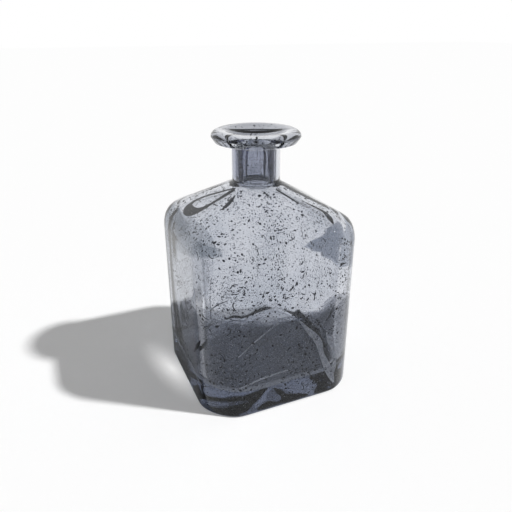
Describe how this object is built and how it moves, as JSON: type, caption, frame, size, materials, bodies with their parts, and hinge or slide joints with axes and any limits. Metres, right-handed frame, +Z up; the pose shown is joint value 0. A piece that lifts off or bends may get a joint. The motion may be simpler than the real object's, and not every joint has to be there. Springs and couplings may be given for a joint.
{
  "type": "stoppered glass bottle",
  "caption": "Square bottle of thick smoky flecked glass with rounded corners and a short round neck, closed by a flat-headed hollow glass stopper on a clear seal ring.",
  "frame": {"origin": "middle of the foot, on the surface that the bottle stands on", "axes": "+Z up along the neck and the stopper; +X and +Y square to the body's flat sides"},
  "size_m": [0.1, 0.1, 0.157],
  "materials": {
    "marbled_glass": "polished, smoky blue-grey, with dark flecks in the wall",
    "stopper_glass": "polished, paler smoky grey, with dark streaks",
    "clear_seal": "clear soft plastic, smooth"
  },
  "bodies": {
    "bottle": {"bottle": "marbled_glass"},
    "seal": {"seal_ring": "clear_seal"},
    "stopper": {"stopper": "stopper_glass"}
  },
  "joints": [
    {"name": "stopper_lift", "type": "slide", "parent": "bottle", "child": "seal", "axis": [0, 0, 1], "range_m": [0, 0.06]},
    {"name": "stopper_turn", "type": "hinge", "parent": "seal", "child": "stopper", "pos_m": [0, 0, 0.15], "axis": [0, 0, 1], "continuous": true}
  ]
}
